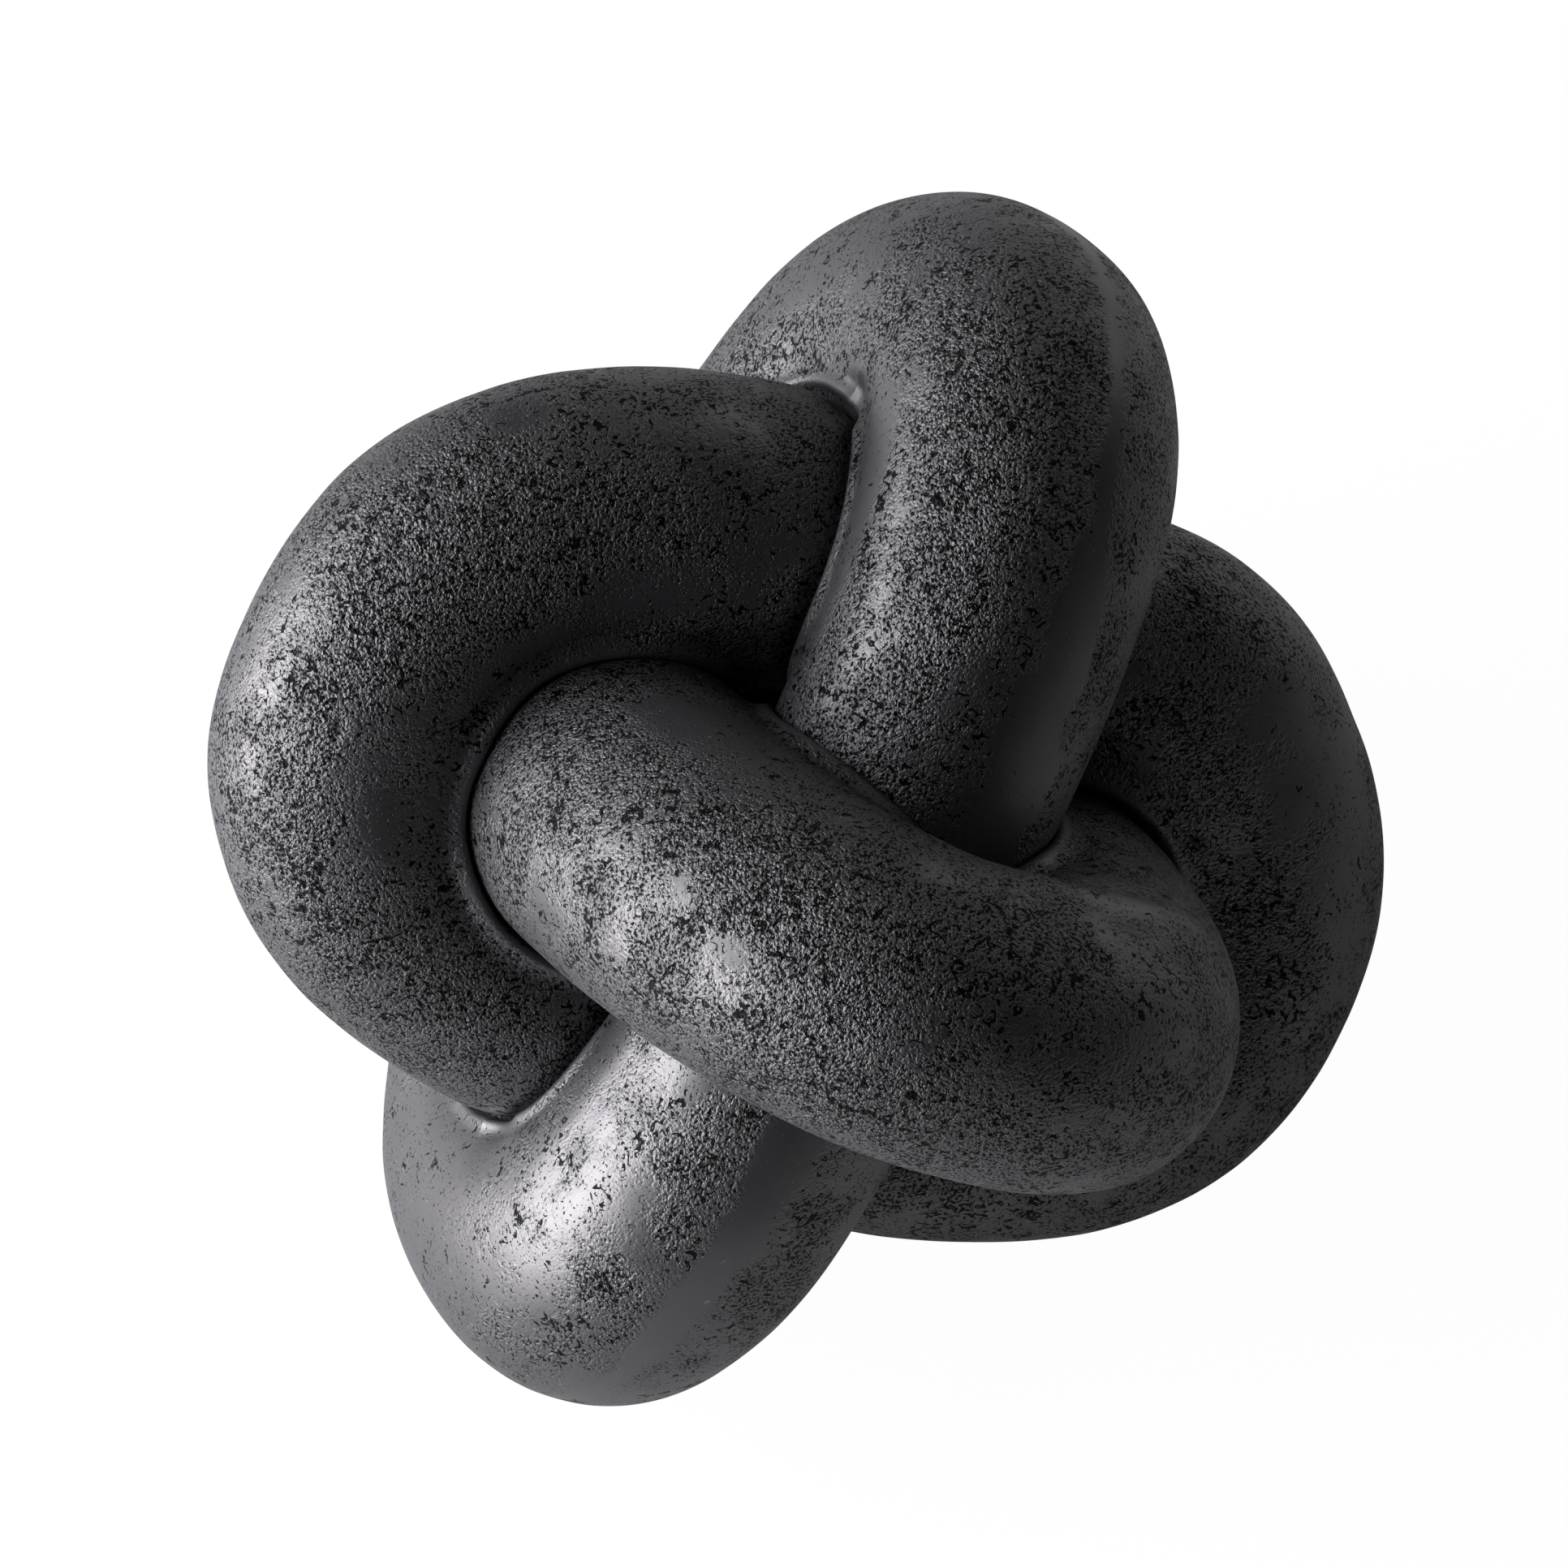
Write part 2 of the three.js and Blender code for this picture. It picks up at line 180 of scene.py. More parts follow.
def height_above(spine, points):
    """How high each point stands above a ring's skin, and the way out from it: the distance to the nearest
    section's axis less its radius, with the drawn-in inside of a bend stretched back to round."""
    batch = 8000
    flat = points.reshape(-1, 3)
    axis = spine["centre"]
    nearest = np.concatenate(
        [
            ((axis**2).sum(1) / 2 - part.astype(np.float32) @ axis.T.astype(np.float32)).argmin(1)
            for part in np.array_split(flat, len(flat) // batch + 1)
        ]
    )
    offset = flat - spine["centre"][nearest]
    tangent, inward = spine["tangent"][nearest], spine["inward"][nearest]
    radius, inner = spine["radius"][nearest], spine["inner"][nearest]
    offset -= (offset * tangent).sum(1, keepdims=True) * tangent
    inside = np.maximum((offset * inward).sum(1), 0)
    round_offset = offset + (inside * (radius / inner - 1))[:, None] * inward
    height = np.linalg.norm(round_offset, axis=1) - radius
    outward = unit(offset)
    return height.reshape(points.shape[:-1]), outward.reshape(points.shape)


# The relief of the cast skin: long soft lumps from the hand-made model and finer waviness from its brushed
# mould.
def uneven(points, grain, seed):
    """Smooth random heights from -1 to 1: random values on a cubic lattice as wide as the grain, blended
    between its corners by the smoothstep curve."""
    cells = 64
    table = np.random.default_rng(seed).uniform(-1, 1, (cells, cells, cells))
    cell = points / grain
    low = np.floor(cell).astype(int)
    part = cell - low
    part = part * part * (3 - 2 * part)
    total = 0
    for corner in np.ndindex(2, 2, 2):
        weight = np.where(corner, part, 1 - part).prod(-1)
        total = total + weight * table[tuple(((low + corner) % cells).T)].T
    return total


def ease(value, low, high):
    """Smoothstep: 0 below low, 1 above high, and a soft S between them."""
    share = np.clip((value - low) / (high - low), 0, 1)
    return share * share * (3 - 2 * share)


# The sizes of the lobes' skin and of their dowels' blind holes. The clay of the model was raised in a thin
# lip round each tube that goes into it, and the mould's parting line was sanded off along the outside.
along_steps = 340
around_steps = 264
crowding = 0.45
tube_width = 24 * MM
socket_gap = 0.3 * MM
lump_height, lump_grain = 0.4 * MM, 21 * MM
wave_height, wave_grain = 0.07 * MM, 6 * MM
band_edge_grain, spot_edge_grain, lip_grain = 6 * MM, 8 * MM, 17 * MM
sanded_flat = 0.3
seat_height = 2.3 * MM
dowel_radius, dowel_length, dowel_clearance = 4 * MM, 40 * MM, 0.3 * MM

# The sanded bands: the distance along the lobe, the angle round from its inside and half the band's width.
sanded_bands = {
    "upper_right_lobe": [
        (0, 166, 5.4),
        (32, 167, 6.6),
        (44, 170.5, 5.2),
        (52, 171, 4.2),
        (61, 174, 2.6),
        (68, 176, 1.2),
    ],
    "lower_left_lobe": [(100, 180, 0.4), (118, 184, 2), (128, 186, 4), (184, 186, 4.5)],
    "lower_back_lobe": [(0, 180, 2), (90, 180, 1), (180, 180, 3)],
}
# How pitted each lobe is, and the soft ellipses where it is more so or less: the middle's distance along and
# angle round, half the length, half the width, and the difference.
pitted_lobes = {
    "upper_left_lobe": 0.55,
    "lower_right_lobe": 0.55,
    "upper_right_lobe": 0.55,
    "lower_left_lobe": 0.28,
    "upper_front_lobe": 0.6,
    "lower_back_lobe": 0.5,
}
pitted_spots = {
    "upper_left_lobe": [
        (75, 245, 26, 16, 0.4),
        (120, 236, 12, 8, 0.25),
        (106, 266, 16, 8, -0.3),
        (45, 276, 14, 8, -0.25),
        (92, 191, 12, 4, -0.3),
        (66, 288, 26, 4, -0.4),
        (137, 262, 18, 10, 0.5),
    ],
    "lower_right_lobe": [
        (152, 235, 8, 14, 0.3),
        (128, 241, 26, 10, -0.55),
        (118, 282, 14, 7, 0.15),
        (82, 215, 16, 8, 0.2),
    ],
    "upper_right_lobe": [
        (66, 216, 24, 14, 0.45),
        (26, 230, 10, 9, 0.25),
        (62, 276, 26, 4, -0.45),
        (112, 256, 12, 7, -0.35),
        (60, 248, 26, 3, -0.25),
        (91, 297, 7, 5, -1),
    ],
    "lower_left_lobe": [
        (144, 206, 10, 7, 0.5),
        (124, 204, 12, 6, 0.35),
        (136, 158, 16, 8, 0.35),
        (96, 262, 24, 20, -0.2),
    ],
    "upper_front_lobe": [
        (24, 221, 12, 8, 0.35),
        (87, 150, 16, 9, 0.4),
        (90, 234, 12, 7, 0.35),
        (72, 212, 22, 11, 0.35),
        (41, 250, 16, 9, -0.45),
        (68, 183, 2.6, 2.2, -0.45),
        (40, 165, 12, 8, -0.2),
        (98, 172, 9, 5, -0.3),
        (112, 250, 10, 8, -0.25),
    ],
    "lower_back_lobe": [(90, 230, 16, 7, -0.4), (60, 150, 12, 6, 0.3)],
}
# Each lobe's lip: its height, half its width and how far its crest stands off the entering tube. Then the
# depth and the width of the hollow that its own necks have along the next ring.
lips = {
    "upper_left_lobe": (2.6, 1.5, 1.9, 1.3, 2.6),
    "lower_right_lobe": (2.0, 1.6, 2.8, 0.3, 1.2),
    "upper_right_lobe": (1.5, 1.4, 1.8, 0.6, 1.6),
    "lower_left_lobe": (1.4, 1.1, 1.3, 0.4, 1.2),
    "upper_front_lobe": (2.8, 1.6, 1.6, 0.1, 1.2),
    "lower_back_lobe": (1.3, 1.0, 1.4, 0.3, 1.2),
}
# Dents and swellings that a hand leaves in clay, each as an ellipse with the height of its middle. The long
# ones follow a crease.
pushed_spots = {
    "upper_left_lobe": [(77, 222, 1.8, 1.3, -0.45), (100, 243, 1.6, 1.2, -0.4)],
    "lower_right_lobe": [(149, 203, 16, 16, 2.2)],
    "upper_right_lobe": [(72, 188, 14, 4, -0.4), (91, 297, 5, 3.5, -0.5)],
    "lower_left_lobe": [(141, 252, 20, 6, -0.4)],
    "upper_front_lobe": [
        (98, 267, 7, 5, 0.8),
        (109, 261, 8, 5, 0.9),
        (118, 249, 8, 6, 0.8),
        (102, 240, 12, 7, -0.5),
    ],
    "lower_back_lobe": [],
}


def gathered(grid):
    """The values of a grid as one list, with its first and last rows each gathered in a single one."""
    return np.concatenate([grid[:1, 0], grid[1:-1].reshape(-1, *grid.shape[2:]), grid[-1:, 0]])


def put_closed_grid(name, points, uv):
    """A smooth closed mesh object at the origin. The points' columns close on themselves, facing out
    where they turn left-handed about the rows, and the first and last rows are poles. The uv
    has one column more, so that the last faces run on to the end of the turn."""
    rows, columns = points.shape[:2]
    row, column = np.mgrid[: rows - 1, :columns]
    corner_row = np.stack([row, row + 1, row + 1, row], axis=-1)
    corner_column = np.stack([column, column, column + 1, column + 1], axis=-1)
    order = 1 + (corner_row - 1) * columns + corner_column % columns
    order = np.where(corner_row == 0, 0, np.where(corner_row == rows - 1, 1 + (rows - 2) * columns, order))
    kept = np.ones(order.shape, bool)
    kept[0, :, 3] = False
    kept[-1, :, 2] = False
    sizes = kept.sum(-1).ravel()
    vertices = gathered(points)
    mesh = bpy.data.meshes.new(name)
    mesh.vertices.add(len(vertices))
    mesh.vertices.foreach_set("co", vertices.astype(np.float32).ravel())
    mesh.loops.add(int(kept.sum()))
    mesh.loops.foreach_set("vertex_index", order[kept].astype(np.int32))
    mesh.polygons.add(len(sizes))
    mesh.polygons.foreach_set("loop_start", (np.cumsum(sizes) - sizes).astype(np.int32))
    mesh.polygons.foreach_set("use_smooth", np.ones(len(sizes), bool))
    mesh.update(calc_edges=True)
    layer = mesh.uv_layers.new(name="surface")
    layer.uv.foreach_set("vector", uv[corner_row, corner_column][kept].astype(np.float32).ravel())
    piece = bpy.data.objects.new(name, mesh)
    bpy.context.scene.collection.objects.link(piece)
    return piece


def surface_normals(points):
    """Unit normals of a grid whose columns close on themselves: the cross product of the step along and the
    step around, which points out of the tube."""
    down = np.gradient(points, axis=0)
    wrapped = np.concatenate([points[:, -1:], points, points[:, :1]], axis=1)
    across = (wrapped[:, 2:] - wrapped[:, :-2]) / 2
    return unit(np.cross(down, across))


def sum_of_spots(spots, along, around, wander):
    """Soft ellipses added up, each worth its last number in its middle, with edges moved by the wander."""
    total = 0 * along
    for middle, angle, half_length, half_width, worth in spots:
        off_along = (along / MM - middle) / half_length
        off_around = (around - np.radians(angle)) * tube_width / MM / half_width
        total += worth * (1 - ease(np.hypot(off_along, off_around) + wander, 0.4, 1.4))
    return total


def sanded_band(node, along, around, skin):
    """How far each point was sanded, from 0 to 1, by its distance from the middle of the band, with a soft
    and wandering edge, and how deep. The depth is a share of what would leave the band quite flat across."""
    if node not in sanded_bands:
        return 0 * along, 0 * along
    places, angles, widths = np.array(sanded_bands[node]).T
    off_middle = np.abs(around - np.radians(np.interp(along / MM, places, angles))) * tube_width
    width = np.interp(along / MM, places, widths) * MM
    edge = width * (1 - 0.5 * uneven(skin, band_edge_grain, 21))
    depth = sanded_flat * np.maximum(width**2 - off_middle**2, 0) / (2 * tube_width)
    return 1 - ease(off_middle - edge, -MM, MM), depth


def lobe_surface(index, half):
    """One lobe's skin, from the ring's own tube: lumps and waves along the normals, the sanded seam a little
    flattened, a lip where the entering ring stands at the lip's distance and a hollow beside the next ring.
    Each point inside the next ring is then moved out to its skin and the glue's gap, and none crosses the
    butt joint or the seat. With the skin come each point's place along and around, and how far it was
    sanded and how pitted it is."""
    sections = half_ring(index, half, along_steps, crowding)
    around = np.linspace(0, 2 * np.pi, around_steps, endpoint=False)
    skin = tube_skin(sections, around)
    normals = surface_normals(skin)
    along, around = np.meshgrid(sections["along"], around, indexing="ij")
    node = rings[index][half]["node"]
    sanded, sanded_depth = sanded_band(node, along, around, skin)
    wander = 0.3 * uneven(skin, spot_edge_grain, 22)
    pitted = pitted_lobes[node] + sum_of_spots(pitted_spots[node], along, around, wander)
    receiving, entering = spines[(index + 1) % 3], spines[(index + 2) % 3]
    over_entering, _ = height_above(entering, skin)
    over_receiving, _ = height_above(receiving, skin)
    relief = lump_height * uneven(skin, lump_grain, 11) + wave_height * uneven(skin, wave_grain, 12)
    relief = relief * ease(over_entering, 0, 3 * MM) - sanded_depth
    relief += sum_of_spots(pushed_spots[node], along, around, 0) * MM
    lip_height, lip_width, lip_stand, hollow_depth, hollow_width = np.array(lips[node]) * MM
    on_lip = np.exp(-(((over_entering - lip_stand) / lip_width) ** 2)) * ease(over_entering, 0, 0.8 * MM)
    lip = lip_height * (0.85 + 0.3 * uneven(skin, lip_grain, 13)) * on_lip
    hollow = hollow_depth * np.exp(-((np.maximum(over_receiving, 0) / hollow_width) ** 2))
    skin = skin + normals * (relief + lip - hollow)[..., None]
    for _ in range(3):
        height, outward = height_above(receiving, skin)
        skin = skin + np.maximum(socket_gap - height, 0)[..., None] * outward
    axes, middle = place_ring(index)
    inwards = axes[:, 0] if half == "upper" else -axes[:, 0]
    over_butt = (skin - middle) @ inwards - butt_gap / 2
    over_butt[1:-1] = np.minimum(over_butt[1:-1], 0)
    skin = skin - over_butt[..., None] * inwards
    skin[..., 2] = np.maximum(skin[..., 2], seat_height)
    return skin, along, around, {"sanded": np.maximum(sanded, ease(on_lip, 0.4, 1.2)), "pitted": pitted}


def neck_middle(index, leg):
    """The middle of a neck: across the ring, half way from the inside of its own leg to the inside of the
    next ring's tip, and along its normal, half way between the next ring's legs."""
    ring, following = rings[index], rings[(index + 1) % 3]
    side, lobe = (1, following["upper"]) if leg == "upper_leg" else (-1, following["lower"])
    across = (ring[leg]["offset"] - ring[leg]["radius"] + lobe["reach"] - lobe["tip"]) / 2
    upper_room = following["upper_leg"]["offset"] - following["upper_leg"]["radius"]
    lower_room = following["lower_leg"]["offset"] - following["lower_leg"]["radius"]
    axes, middle = place_ring(index)
    return middle + side * across * axes[:, 1] + (lower_room - upper_room) / 2 * axes[:, 2]


def butt_face(outline, index, half, leg):
    """Rows of points from a neck's outline, over its flat butt face to the rim of the dowel's blind hole,
    down the hole and in to the middle of its bottom. Close pairs of rows keep the edges crisp."""
    axes, _ = place_ring(index)
    inwards = axes[:, 0] if half == "upper" else -axes[:, 0]
    middle = neck_middle(index, leg) + inwards * butt_gap / 2
    spokes = unit(outline - middle)
    rim = middle + spokes * (dowel_radius + dowel_clearance)
    bottom = middle + inwards * (dowel_length / 2 + dowel_clearance - butt_gap / 2)
    foot = rim + bottom - middle
    runs = [(outline, rim, (0.01, 0.25, 0.5, 0.75, 0.99, 1)), (rim, foot, (0.01, 0.5, 0.99, 1))]
    runs.append((foot, bottom + 0 * foot, (0.05, 0.5, 1)))
    return np.stack([start + (end - start) * share for start, end, shares in runs for share in shares])


for index, ring in enumerate(rings):
    for half in ("upper", "lower"):
        skin, along, around, shares = lobe_surface(index, half)
        legs = ("upper_leg", "lower_leg") if half == "upper" else ("lower_leg", "upper_leg")
        first = butt_face(skin[0], index, half, legs[0])[::-1]
        last = butt_face(skin[-1], index, half, legs[1])
        points = np.concatenate([first, skin, last])
        ends = ((len(first), len(last)), (0, 0))
        uv = np.stack([np.pad(along, ends, "edge"), np.pad(around, ends, "edge") * tube_width], axis=-1)
        uv = np.concatenate([uv, uv[:, :1] + [0, 2 * np.pi * tube_width]], axis=1)
        piece = put_closed_grid(ring[half]["node"] + "_casting", points, uv)
        for layer_name, values in shares.items():
            layer = piece.data.attributes.new(layer_name, "FLOAT", "POINT")
            layer.data.foreach_set("value", gathered(np.pad(values, ends, "edge")).astype(np.float32))
        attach(piece, "root")
        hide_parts(ring[half]["node"])
        ring[half]["piece"] = piece


# The resin is a black casting resin with stone filler. Its first coat was brushed thinly into rubber moulds,
# so the satin skin is full of burst bubbles and grit, and smooth only where a seam, a lip or a high spot was
# sanded.
def linear(colour):
    """An sRGB hex colour as linear red, green and blue, with an alpha of 1."""
    parts = np.array([int(colour[i : i + 2], 16) for i in (1, 3, 5)]) / 255
    return (*np.where(parts > 0.04045, ((parts + 0.055) / 1.055) ** 2.4, parts / 12.92), 1)


def add_node(tree, kind, inputs, output=0, **settings):
    """Adds a shader node with its settings, gives its inputs values or links, by name or in their order, and
    returns one of its outputs."""
    node = tree.nodes.new("ShaderNode" + kind)
    for name, value in settings.items():
        setattr(node, name, value)
    for name, value in inputs.items() if isinstance(inputs, dict) else enumerate(inputs):
        if isinstance(value, bpy.types.NodeSocket):
            tree.links.new(value, node.inputs[name])
        else:
            node.inputs[name].default_value = value
    return node.outputs[output]


def start_material(name):
    """A new material, its node tree and the tree's own shader."""
    material = bpy.data.materials.new(name)
    material.use_nodes = True
    return material, material.node_tree, material.node_tree.nodes["Principled BSDF"]


resin, tree, shader = start_material("black_filled_casting_resin")
spot = add_node(tree, "TexCoord", (), output="Object")
surface = add_node(tree, "UVMap", (), uv_map="surface")
sanded = add_node(tree, "Attribute", (), output="Fac", attribute_name="sanded")
pitted = add_node(tree, "Attribute", (), output="Fac", attribute_name="pitted")

# Grit is everywhere but thins out over smoother patches. Bubbles are wider, fewer and of uneven outline, and
# come in crowds of their own. A pit opens where its noise is above a level, which falls as the skin gets
# rougher and rises where it was sanded.
patch_grain, crowd_grain = 12 * MM, 8 * MM
grit_grain, bubble_grain = 0.54 * MM, 1.6 * MM
grit_levels, bubble_levels = (0.66, 0.52), (0.68, 0.53)
grit_rim, bubble_rim = 0.13, 0.06
patch_contrast, crowd_contrast, pitted_crowding = 2.6, 1.6, 0.5
sanding_lift = 0.12
patches = add_node(
    tree, "TexNoise", {"Vector": spot, "Scale": 1 / patch_grain, "Detail": 5.0, "Roughness": 0.62}
)
crowds = add_node(
    tree, "TexNoise", {"Vector": spot, "Scale": 1 / crowd_grain, "Detail": 3.0, "Roughness": 0.6}
)
unsanded = add_node(tree, "Math", (1.0, sanded), operation="SUBTRACT")
patchiness = add_node(tree, "Math", (patches, 0.5), operation="SUBTRACT")
rough_share = add_node(tree, "Math", (patchiness, patch_contrast, pitted), operation="MULTIPLY_ADD")
rough_share = add_node(tree, "MapRange", (rough_share, -0.1, 1.0), interpolation_type="SMOOTHSTEP")
rough_share = add_node(tree, "Math", (rough_share, unsanded), operation="MULTIPLY")
grit = add_node(tree, "TexNoise", {"Vector": spot, "Scale": 1 / grit_grain, "Detail": 1.0, "Distortion": 0.3})
grit_level = add_node(
    tree, "MapRange", (rough_share, 0.0, 1.0, *grit_levels), interpolation_type="SMOOTHSTEP"
)
grit_level = add_node(tree, "Math", (sanded, sanding_lift, grit_level), operation="MULTIPLY_ADD")
grit_bottom = add_node(tree, "Math", (grit_level, grit_rim), operation="ADD")
grit_pits = add_node(tree, "MapRange", (grit, grit_level, grit_bottom), interpolation_type="SMOOTHSTEP")
bubbles = add_node(
    tree, "TexNoise", {"Vector": spot, "Scale": 1 / bubble_grain, "Detail": 2.5, "Distortion": 1.6}
)
crowded = add_node(tree, "Math", (pitted, pitted_crowding), operation="MULTIPLY")
crowded = add_node(tree, "Math", (crowds, crowd_contrast, crowded), operation="MULTIPLY_ADD")
bubble_level = add_node(
    tree, "MapRange", (crowded, 0.7, 1.35, *bubble_levels), interpolation_type="SMOOTHSTEP"
)
bubble_level = add_node(tree, "Math", (sanded, sanding_lift, bubble_level), operation="MULTIPLY_ADD")
bubble_bottom = add_node(tree, "Math", (bubble_level, bubble_rim), operation="ADD")
bubble_pits = add_node(
    tree, "MapRange", (bubbles, bubble_level, bubble_bottom), interpolation_type="SMOOTHSTEP"
)
pits = add_node(tree, "Math", (grit_pits, bubble_pits), operation="MAXIMUM")

# Between the pits the rough skin is leathery, in bumps that fall off into them. The sanding strokes run along
# each lobe, and are drawn wider than real ones so that they show. All depths and heights are in millimetres.
leather_grain, ripple_grain = 1.1 * MM, 5 * MM
stroke_length, stroke_width = 14 * MM, 0.45 * MM
grit_depth, bubble_depth, leather_height, ripple_height, stroke_height = 0.22, 0.3, 0.5, 0.04, 0.02
stroke_scale = (1 / stroke_length, 1 / stroke_width, 1)
stroke_place = add_node(tree, "Mapping", {"Vector": surface, "Scale": stroke_scale}, vector_type="POINT")
strokes = add_node(tree, "TexNoise", {"Vector": stroke_place, "Scale": 1.0, "Detail": 3.0})
stroke_lines = add_node(tree, "Math", (strokes, sanded), operation="MULTIPLY")
ripple = add_node(tree, "TexNoise", {"Vector": spot, "Scale": 1 / ripple_grain, "Detail": 2.0})
leather = add_node(tree, "TexNoise", {"Vector": spot, "Scale": 1 / leather_grain, "Detail": 2.0})
leather = add_node(tree, "Math", (grit, leather), operation="ADD")
leather = add_node(tree, "Math", (leather, 1.0), operation="SUBTRACT")
leather = add_node(tree, "Math", (leather, rough_share), operation="MULTIPLY")
relief = add_node(tree, "Math", (bubble_pits, -bubble_depth), operation="MULTIPLY")
for pattern, height in (
    (grit_pits, -grit_depth),
    (leather, -leather_height),
    (ripple, ripple_height),
    (stroke_lines, stroke_height),
):
    relief = add_node(tree, "Math", (pattern, height, relief), operation="MULTIPLY_ADD")
bump = add_node(tree, "Bump", {"Strength": 1.0, "Distance": MM, "Height": relief})

# The resin itself, paler where it was sanded, with a few bare grains of the filler. The pits carry painted
# shade: they are coloured near black and their gloss is tinted near black, in place of the shade that falls
# inside them. The resin's satin sheen is a little stronger than a plain resin's, because the skin was waxed
# or buffed.
filler_grain, filler_level, filler_full = 0.9 * MM, 0.83, 0.85
filler = add_node(tree, "TexNoise", {"Vector": spot, "Scale": 1 / filler_grain, "Detail": 0.0})
filler = add_node(tree, "MapRange", (filler, filler_level, filler_full), interpolation_type="SMOOTHSTEP")
sanded_pale = add_node(tree, "Math", (sanded, 0.6), operation="MULTIPLY")
colour = linear("#343436")
# The pits' near-black colour is painted shade; the patches, sanding and filler are the resin's own tones.
for share, over in ((patches, "#3f3f42"), (sanded_pale, "#434346"), (pits, "#0b0b0c"), (filler, "#7d6f5c")):
    colour = add_node(tree, "Mix", {0: share, 6: colour, 7: linear(over)}, output=2, data_type="RGBA")
# Painted shade: in the pits the gloss is tinted near black, as if the shade inside them took it out.
pit_shade_tint = add_node(
    tree, "Mix", {0: pits, 6: linear("#ffffff"), 7: linear("#161616")}, output=2, data_type="RGBA"
)
smooth_skin, rough_skin, pit_floor, stroke_effect = 0.38, 0.46, 0.65, 0.1
roughness = add_node(
    tree, "MapRange", (rough_share, 0.1, 0.9, smooth_skin, rough_skin), interpolation_type="SMOOTHSTEP"
)
roughness = add_node(tree, "Math", (strokes, stroke_effect, roughness), operation="MULTIPLY_ADD")
roughness = add_node(
    tree, "MapRange", (pits, 0.0, 1.0, roughness, pit_floor), interpolation_type="SMOOTHSTEP"
)
tree.links.new(colour, shader.inputs["Base Color"])
tree.links.new(pit_shade_tint, shader.inputs["Specular Tint"])
tree.links.new(roughness, shader.inputs["Roughness"])
tree.links.new(bump, shader.inputs["Normal"])
shader.inputs["IOR"].default_value = 1.6
shader.inputs["Specular IOR Level"].default_value = 0.95
for ring in rings:
    for half in ("upper", "lower"):
        ring[half]["piece"].data.materials.append(resin)

# The six dowels. Each is a pin cut from 8 mm ground steel bar, with chamfered ends. It is glued half its
# length deep into the blind holes of two necks and holds them together across their butt joint.
chamfer, crisp_row = 0.8 * MM, 0.1 * MM
dowel_profile = np.array(
    [
        (0, 0),
        (0, 0.5 * dowel_radius),
        (0, dowel_radius - chamfer),
        (0.5 * chamfer, dowel_radius - 0.5 * chamfer),
        (chamfer, dowel_radius),
        (chamfer + crisp_row, dowel_radius),
        (dowel_length / 2, dowel_radius),
    ]
)
dowel_profile = np.concatenate([dowel_profile, (dowel_profile[:-1] * [-1, 1] + [dowel_length, 0])[::-1]])
round_sides = 64


def put_turned(name, profile, foot, axis, side):
    """A turned piece: the profile's places along the axis from the foot and its radii, swept round it."""
    angle = np.linspace(0, 2 * np.pi, round_sides, endpoint=False)[:, None]
    spokes = side * np.cos(angle) + np.cross(side, axis) * np.sin(angle)
    points = foot + profile[:, :1, None] * axis + profile[:, 1:, None] * spokes
    uv = np.stack(np.broadcast_arrays(profile[:, :1], np.linspace(0, 1, round_sides + 1)), axis=-1)
    return put_closed_grid(name, points, uv)


# Bar steel as it comes off the centreless grinder: bare metal with fine cloudy marks and a soft sheen.
steel_grain = 0.6 * MM
steel, tree, shader = start_material("ground_bar_steel")
spot = add_node(tree, "TexCoord", (), output="Object")
marks = add_node(tree, "TexNoise", {"Vector": spot, "Scale": 1 / steel_grain, "Detail": 4.0})
colour = add_node(
    tree, "Mix", {0: marks, 6: linear("#b9bbbd"), 7: linear("#cfd0d2")}, output=2, data_type="RGBA"
)
roughness = add_node(tree, "MapRange", (marks, 0.3, 0.7, 0.25, 0.4), interpolation_type="SMOOTHSTEP")
tree.links.new(colour, shader.inputs["Base Color"])
tree.links.new(roughness, shader.inputs["Roughness"])
shader.inputs["Metallic"].default_value = 1

for index, ring in enumerate(rings):
    axes, _ = place_ring(index)
    for leg in ("upper_leg", "lower_leg"):
        foot = neck_middle(index, leg) - axes[:, 0] * dowel_length / 2
        name = ring["upper"]["node"].replace("upper_", "").replace("_lobe", "")
        name = f"{name}_ring_{leg.replace('_leg', '')}_dowel"
        dowel = put_turned(name + "_pin", dowel_profile, foot, axes[:, 0], axes[:, 1])
        dowel.data.materials.append(steel)
        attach(dowel, "root")
        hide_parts(name)

# The three pads. Each is a disc punched from 2 mm black wool felt, with edges a little rounded by the punch,
# and it is glued under the flat seat of a lower lobe, so that the casting doesn't scratch a table.
pad_radius, pad_thickness, pad_edge = 7 * MM, 2 * MM, 0.35 * MM
quarter = np.linspace(0, np.pi / 2, 6)
edge = np.column_stack([pad_edge * (1 - np.cos(quarter)), pad_radius - pad_edge * (1 - np.sin(quarter))])
pad_profile = np.concatenate([[(0, 0), (0, 0.5 * pad_radius)], edge])
pad_profile = np.concatenate([pad_profile, (pad_profile * [-1, 1] + [pad_thickness, 0])[::-1]])

# Pressed wool: dull, with tangled fibres, which are drawn several times as wide as real ones so that they
# show.
fibre_grain = 0.35 * MM
felt, tree, shader = start_material("black_wool_felt")
spot = add_node(tree, "TexCoord", (), output="Object")
fibres = add_node(
    tree,
    "TexNoise",
    {"Vector": spot, "Scale": 1 / fibre_grain, "Detail": 5.0, "Roughness": 0.7, "Distortion": 2.5},
)
colour = add_node(
    tree, "Mix", {0: fibres, 6: linear("#121213"), 7: linear("#2b2b2c")}, output=2, data_type="RGBA"
)
tree.links.new(colour, shader.inputs["Base Color"])
bump = add_node(tree, "Bump", {"Strength": 0.8, "Distance": 0.3 * MM, "Height": fibres})
tree.links.new(bump, shader.inputs["Normal"])
shader.inputs["Roughness"].default_value = 0.95

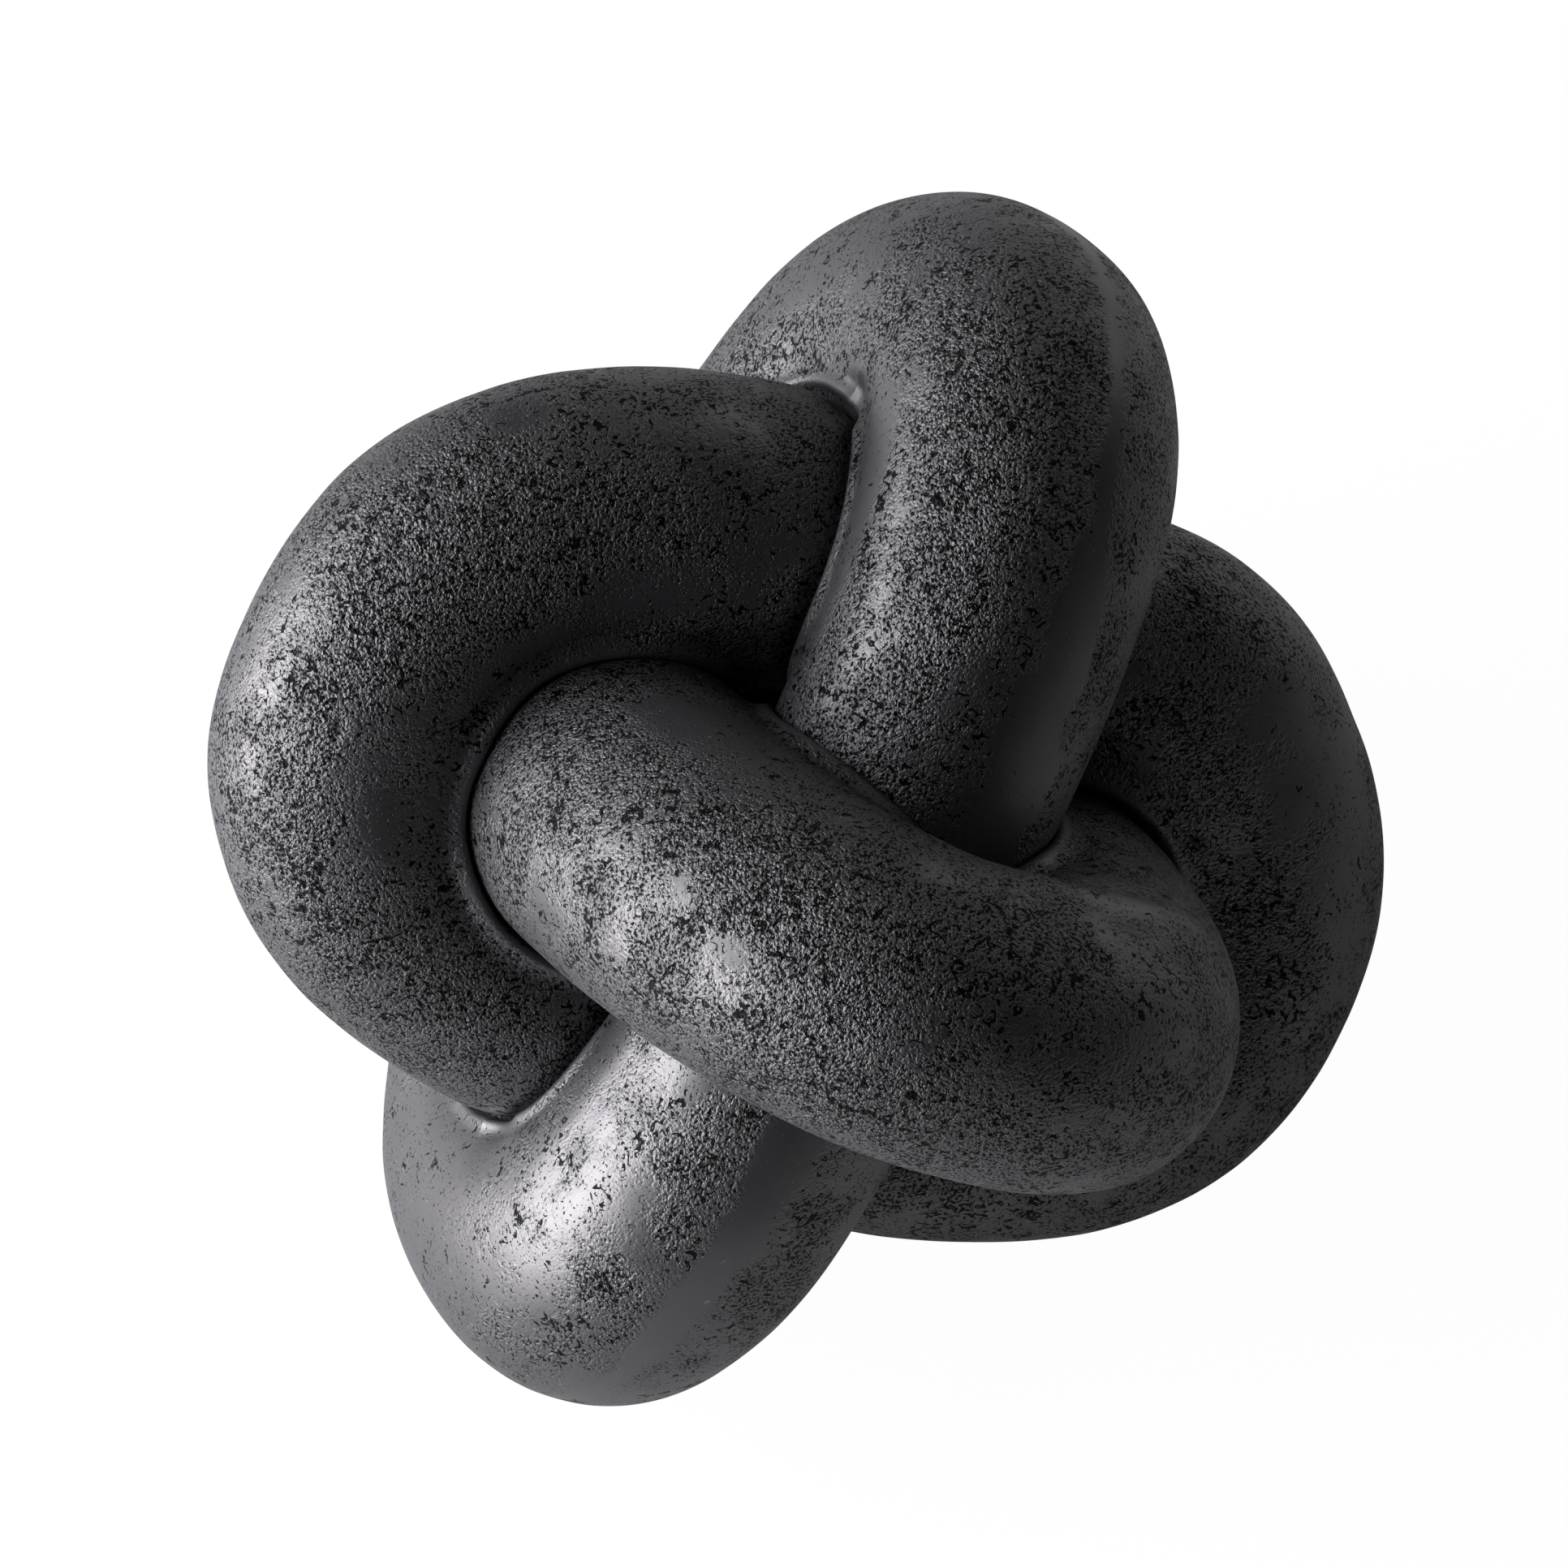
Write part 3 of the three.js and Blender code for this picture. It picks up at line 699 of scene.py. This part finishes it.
for node in ("left_pad", "right_pad", "back_pad"):
    low, high = (np.array(corner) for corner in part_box(node))
    foot = np.array([(low[0] + high[0]) / 2, (low[1] + high[1]) / 2, low[2]])
    pad = put_turned(node + "_felt", pad_profile, foot, np.array([0, 0, 1.0]), np.array([1.0, 0, 0]))
    pad.data.materials.append(felt)
    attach(pad, "root")
    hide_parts(node)

# The floor is a plain pale sheet that stands in for no piece of the object. To the camera it glows nearly
# white, and a little of that glow shows in reflections. It keeps the object's shadow.
floor_size = 6
seen_glow, mirrored_glow = 0.93, 0.09
bpy.ops.mesh.primitive_plane_add(size=floor_size, location=(0, 0, 0))
floor = bpy.context.object
paper, tree, shader = start_material("white_paper")
shader.inputs["Base Color"].default_value = (0.8, 0.8, 0.8, 1)
shader.inputs["Roughness"].default_value = 0.9
seen, mirrored, refracted = (
    add_node(tree, "LightPath", (), output=f"Is {ray} Ray") for ray in ("Camera", "Glossy", "Transmission")
)
glow_share = add_node(tree, "Math", (mirrored, refracted), operation="MAXIMUM")
glow_share = add_node(tree, "Math", (glow_share, mirrored_glow), operation="MULTIPLY")
glow_share = add_node(tree, "Math", (seen, seen_glow, glow_share), operation="MULTIPLY_ADD")
glow = add_node(tree, "Emission", {"Color": linear("#ffffff"), "Strength": 1.05})
mixed = add_node(tree, "MixShader", (glow_share, shader.outputs[0], glow))
tree.links.new(mixed, tree.nodes["Material Output"].inputs["Surface"])
floor.data.materials.append(paper)

# The camera has a long lens. It looks down at the knot from 63 degrees above the table and a little to the
# left of its front, and it is rolled by 11 degrees.
camera_distance, camera_right, camera_up = 2436 * MM, -1.21 * MM, 5.82 * MM
camera_data = bpy.data.cameras.new("camera")
camera = bpy.data.objects.new("camera", camera_data)
bpy.context.scene.collection.objects.link(camera)
bpy.context.scene.camera = camera
camera_data.lens = 359.5
camera_data.sensor_width = 36
camera_data.clip_start = 0.1
camera_data.clip_end = 20
azimuth, elevation, roll = np.radians([-13.94, 63.07, -11.09])
level = np.array([np.cos(azimuth), np.sin(azimuth), 0])
toward = np.array(
    [np.sin(azimuth) * np.cos(elevation), -np.cos(azimuth) * np.cos(elevation), np.sin(elevation)]
)
upright = np.cross(toward, level)
right = np.cos(roll) * level + np.sin(roll) * upright
up = np.cross(toward, right)
place = knot_middle + camera_distance * toward + camera_right * right + camera_up * up
rows = np.column_stack([right, up, toward, place]).tolist()
camera.matrix_world = Matrix(rows + [[0, 0, 0, 1]])

# A low, wide, window-like soft box stands on the floor at the camera's left. A second one hangs above it, a
# little further back, and a third higher still. A weak warm fill comes from the right. Each lamp has its
# heading, distance, height, size, power and colour. A low lamp shines level, and a high one down at the knot.
level_height = 0.6
lamps = {
    "window": (165, 1.35, 0.25, (1.25, 0.46), 30, "#fdfaff"),
    "high_window": (146, 1.25, 0.8, (1.2, 0.55), 11, "#fbf9ff"),
    "upper_box": (150, 0.8, 1.25, (1.2, 0.6), 3, "#fdfaff"),
    "fill": (32, 1.4, 0.5, (1.2, 0.8), 2.2, "#fffdf8"),
}
for name, (heading, distance, height, size, power, colour) in lamps.items():
    lamp_data = bpy.data.lights.new(name, "AREA")
    lamp_data.shape = "RECTANGLE"
    lamp_data.size, lamp_data.size_y = size
    lamp_data.energy = power
    lamp_data.color = linear(colour)[:3]
    lamp = bpy.data.objects.new(name, lamp_data)
    bpy.context.scene.collection.objects.link(lamp)
    turn = np.radians(heading)
    lamp.location = (distance * np.cos(turn), distance * np.sin(turn), height)
    way = lamp.location - Vector((0, 0, min(height, knot_middle[2])))
    if height < level_height:
        way.z = 0
    lamp.rotation_mode = "QUATERNION"
    lamp.rotation_quaternion = way.to_track_quat("Z", "Y")

# A faint even light comes from all round.
world = bpy.data.worlds.new("studio")
bpy.context.scene.world = world
world.use_nodes = True
world.node_tree.nodes["Background"].inputs["Color"].default_value = linear("#ffffff")
world.node_tree.nodes["Background"].inputs["Strength"].default_value = 0.02
bpy.context.scene.view_settings.view_transform = "Standard"
